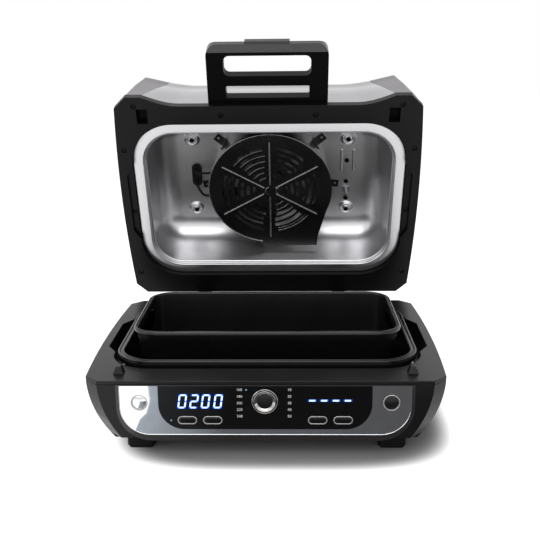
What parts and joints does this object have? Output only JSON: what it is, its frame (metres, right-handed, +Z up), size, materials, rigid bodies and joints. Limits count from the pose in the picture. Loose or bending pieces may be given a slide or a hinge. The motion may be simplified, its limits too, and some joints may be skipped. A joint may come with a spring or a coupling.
{
  "type": "air fryer grill",
  "caption": "Countertop air fryer grill: a low base with a control panel, a pot and a basket, and a deep hinged lid with a fan, a steel liner and a loop handle.",
  "frame": {"origin": "middle of the base on the plane of the feet", "axes": "+X to the right as seen from the front, +Y to the rear, +Z up"},
  "size_m": [0.43, 0.4952, 0.479],
  "materials": {
    "charcoal_plastic": "moulded charcoal plastic with a fine grain",
    "lid_black_plastic": "satin black moulded plastic",
    "grip_gloss": "semi-gloss black moulded plastic",
    "button_black": "satin black plastic",
    "gloss_black": "piano black plastic",
    "gunmetal_paint": "warm gunmetal paint with a soft sheen",
    "mirror_chrome": "mirror chrome plate",
    "bright_trim": "satin bright metal trim",
    "silver_gloss_paint": "glossy silver paint",
    "silver_matte_paint": "matte silver paint with a warm tint",
    "satin_steel": "satin drawn stainless steel",
    "zinc_steel": "zinc plated steel",
    "dark_steel": "blackened steel screws",
    "cast_alloy": "cast aluminium alloy",
    "heater_sheath": "dark oxidised heater sheath",
    "black_paint": "satin black enamel on steel",
    "nonstick_coat": "satin black non-stick coating",
    "black_rubber": "black rubber",
    "board_laminate": "green circuit board",
    "brass_bush": "sintered brass bush"
  },
  "bodies": {
    "base": {"lower_housing": "charcoal_plastic", "base_deck": "charcoal_plastic", "bottom_plate": "zinc_steel", "rubber_feet": "black_rubber", "bottom_screws": "dark_steel", "interlock_pegs": "charcoal_plastic", "panel_bezel": "gunmetal_paint", "chrome_fascia": "mirror_chrome", "display_panel": "gloss_black", "display_board": "board_laminate", "power_board": "board_laminate", "pill_button_rings": "bright_trim", "round_button_rings": "bright_trim", "heat_well": "satin_steel", "pot_supports": "zinc_steel", "base_heater": "heater_sheath", "pot_sensor": "cast_alloy", "hinge_brackets": "black_paint", "hinge_pins": "zinc_steel", "cord_gland": "black_rubber"},
    "knob": {"control_knob": "gloss_black", "knob_ring": "bright_trim"},
    "pill_button_1": {"pill_button_1": "button_black"},
    "pill_button_2": {"pill_button_2": "button_black"},
    "pill_button_3": {"pill_button_3": "button_black"},
    "pill_button_4": {"pill_button_4": "button_black"},
    "power_button": {"power_button": "bright_trim"},
    "start_button": {"start_button": "button_black"},
    "outer_pot": {"outer_pot": "nonstick_coat"},
    "inner_basket": {"inner_basket": "nonstick_coat"},
    "lid": {"lid_frame": "lid_black_plastic", "lid_cover": "silver_gloss_paint", "lid_side_left": "silver_matte_paint", "lid_side_right": "silver_matte_paint", "steel_liner": "satin_steel", "fan_guard": "black_paint", "fan_scroll": "black_paint", "guard_clips": "dark_steel", "heater_coil": "heater_sheath", "coil_clips": "zinc_steel", "wire_grommet": "black_rubber", "heater_wires": "black_rubber", "temperature_probe": "zinc_steel", "liner_screws": "dark_steel", "frame_screws": "dark_steel", "interlock_switches": "button_black", "motor_bracket": "zinc_steel", "motor": "cast_alloy", "handle_frame": "lid_black_plastic", "handle_grip": "grip_gloss", "hinge_arms": "black_paint", "hinge_bushes": "brass_bush"},
    "fan": {"fan_impeller": "cast_alloy", "motor_shaft": "zinc_steel", "cooling_fan": "button_black"}
  },
  "joints": [
    {"name": "lid_hinge", "type": "hinge", "parent": "base", "child": "lid", "pos_m": [0, 0.1845, 0.0682], "axis": [-1, 0, 0], "range_deg": [-69, 0]},
    {"name": "fan_spin", "type": "hinge", "parent": "lid", "child": "fan", "pos_m": [0, 0.21162, 0.27409], "axis": [0, 0.9336, 0.3584], "continuous": true},
    {"name": "knob_turn", "type": "hinge", "parent": "base", "child": "knob", "pos_m": [0, -0.165, 0.074], "axis": [0, 1, 0], "continuous": true},
    {"name": "pill_button_1_press", "type": "slide", "parent": "base", "child": "pill_button_1", "axis": [0, 1, 0], "range_m": [0, 0.001], "stiffness_N_per_m": 400},
    {"name": "pill_button_2_press", "type": "slide", "parent": "base", "child": "pill_button_2", "axis": [0, 1, 0], "range_m": [0, 0.001], "stiffness_N_per_m": 400},
    {"name": "pill_button_3_press", "type": "slide", "parent": "base", "child": "pill_button_3", "axis": [0, 1, 0], "range_m": [0, 0.001], "stiffness_N_per_m": 400},
    {"name": "pill_button_4_press", "type": "slide", "parent": "base", "child": "pill_button_4", "axis": [0, 1, 0], "range_m": [0, 0.001], "stiffness_N_per_m": 400},
    {"name": "power_button_press", "type": "slide", "parent": "base", "child": "power_button", "axis": [0, 1, 0], "range_m": [0, 0.001], "stiffness_N_per_m": 400},
    {"name": "start_button_press", "type": "slide", "parent": "base", "child": "start_button", "axis": [0, 1, 0], "range_m": [0, 0.001], "stiffness_N_per_m": 400},
    {"name": "pot_lift", "type": "slide", "parent": "base", "child": "outer_pot", "axis": [0, 0, 1], "range_m": [0, 0.11]},
    {"name": "basket_lift", "type": "slide", "parent": "outer_pot", "child": "inner_basket", "axis": [0, 0, 1], "range_m": [0, 0.09]}
  ]
}
